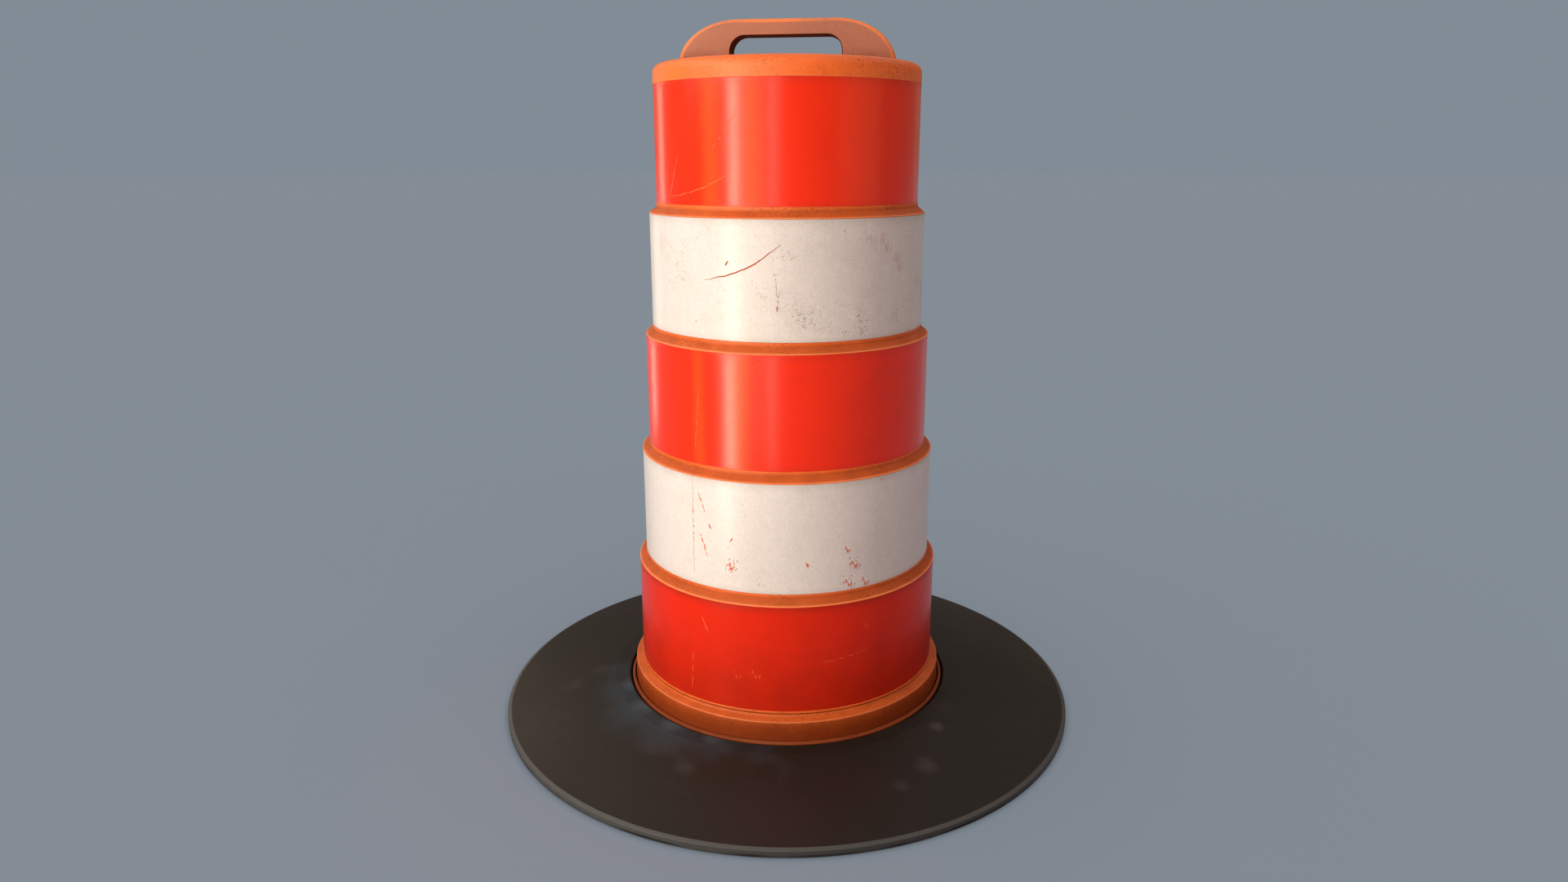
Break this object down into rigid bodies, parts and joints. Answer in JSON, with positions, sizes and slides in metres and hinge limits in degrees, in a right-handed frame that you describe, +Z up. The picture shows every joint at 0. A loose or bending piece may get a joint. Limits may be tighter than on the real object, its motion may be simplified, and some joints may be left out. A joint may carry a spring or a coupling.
{
  "type": "traffic barrel drum",
  "caption": "Stepped plastic traffic drum with orange and white reflective bands and a carry handle, on a break-away base tray weighted by a tyre rubber ring.",
  "frame": {"origin": "middle of the base on the road surface, on the drum's axis", "axes": "+Z up along the drum's axis; X runs along the carry handle, which crosses the deck; -Y is the front"},
  "size_m": [0.8493, 0.8494, 0.9766],
  "materials": {
    "drum_plastic": "low-density polyethylene, blow moulded, semi-matt orange",
    "handle_plastic": "moulded polyethylene, faded orange, matt",
    "tray_plastic": "moulded polyethylene, dusty dark orange",
    "sheeting_orange": "prismatic reflective sheeting, glossy red-orange",
    "sheeting_white": "prismatic reflective sheeting, warm white, scuffed",
    "ring_rubber": "recycled tyre rubber, dusty, smooth",
    "zinc_steel": "zinc plated steel",
    "bead_steel": "bronze coated steel wire",
    "insert_brass": "turned brass"
  },
  "bodies": {
    "base": {"base_tray": "tray_plastic"},
    "drum": {"drum_shell": "drum_plastic", "sheeting_top_orange": "sheeting_orange", "sheeting_upper_white": "sheeting_white", "sheeting_middle_orange": "sheeting_orange", "sheeting_lower_white": "sheeting_white", "sheeting_bottom_orange": "sheeting_orange", "carry_handle": "handle_plastic", "handle_bolts": "zinc_steel", "handle_washers": "zinc_steel", "handle_inserts": "insert_brass", "handle_backing_plates": "zinc_steel"},
    "ring": {"ballast_ring": "ring_rubber", "bead_wire": "bead_steel"}
  },
  "joints": [
    {"name": "drum_lift", "type": "slide", "parent": "base", "child": "drum", "axis": [0, 0, 1], "range_m": [0, 0.15]},
    {"name": "ring_lift", "type": "slide", "parent": "base", "child": "ring", "axis": [0, 0, 1], "range_m": [0, 1.2]}
  ]
}
